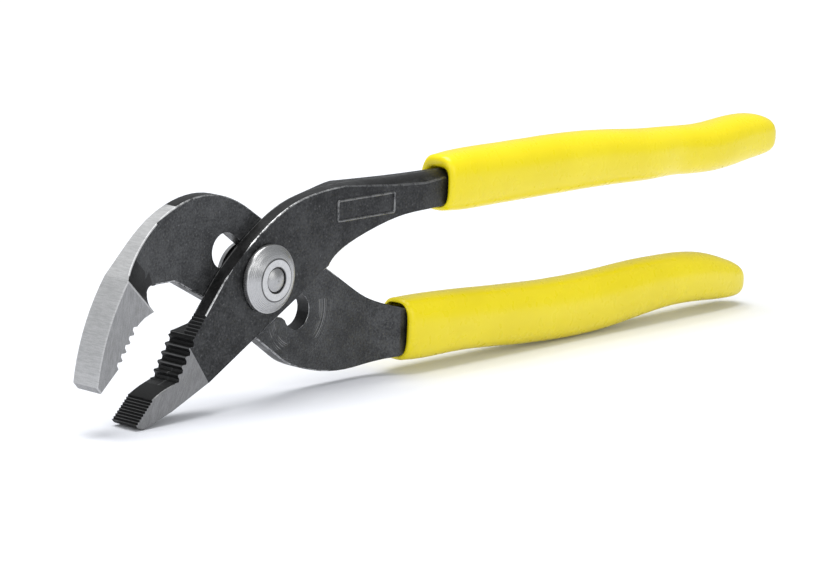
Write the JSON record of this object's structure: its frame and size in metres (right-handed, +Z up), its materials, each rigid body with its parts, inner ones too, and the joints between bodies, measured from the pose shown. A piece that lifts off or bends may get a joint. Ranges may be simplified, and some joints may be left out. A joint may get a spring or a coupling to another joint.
{
  "type": "slip-joint pliers",
  "caption": "Slotted slip-joint water pump pliers with a hooked upper jaw, serrated lower jaw and dipped vinyl grips.",
  "frame": {"origin": "on the pivot axis, midway between the outer faces of the joint", "axes": "+X towards the handle ends, +Z up with the tool standing on its lower edge, +Y towards the rear face; the pivot axis is Y"},
  "size_m": [0.252, 0.0135, 0.0522],
  "materials": {
    "front_lever_steel": "black oxide forging, ground jaw sides",
    "rear_lever_steel": "black oxide forging, ground jaw sides",
    "pivot_bolt_steel": "turned, riveted end",
    "collar_steel": "bright turned",
    "upper_grip_vinyl": "dipped soft vinyl, semi-gloss",
    "lower_grip_vinyl": "dipped soft vinyl, semi-gloss"
  },
  "bodies": {
    "rear_lever_body": {"rear_lever": "rear_lever_steel", "lower_grip": "lower_grip_vinyl"},
    "pivot_body": {"pivot_bolt": "pivot_bolt_steel", "pivot_collar": "collar_steel"},
    "front_lever_body": {"front_lever": "front_lever_steel", "upper_grip": "upper_grip_vinyl"}
  },
  "joints": [
    {"name": "pivot_slide", "type": "slide", "parent": "rear_lever_body", "child": "pivot_body", "axis": [0.8241, 0, -0.5664], "range_m": [-0.01164, 0.01746]},
    {"name": "lever_pivot", "type": "hinge", "parent": "pivot_body", "child": "front_lever_body", "pos_m": [0, 0, 0], "axis": [0, -1, 0], "range_deg": [-2, 55]}
  ]
}
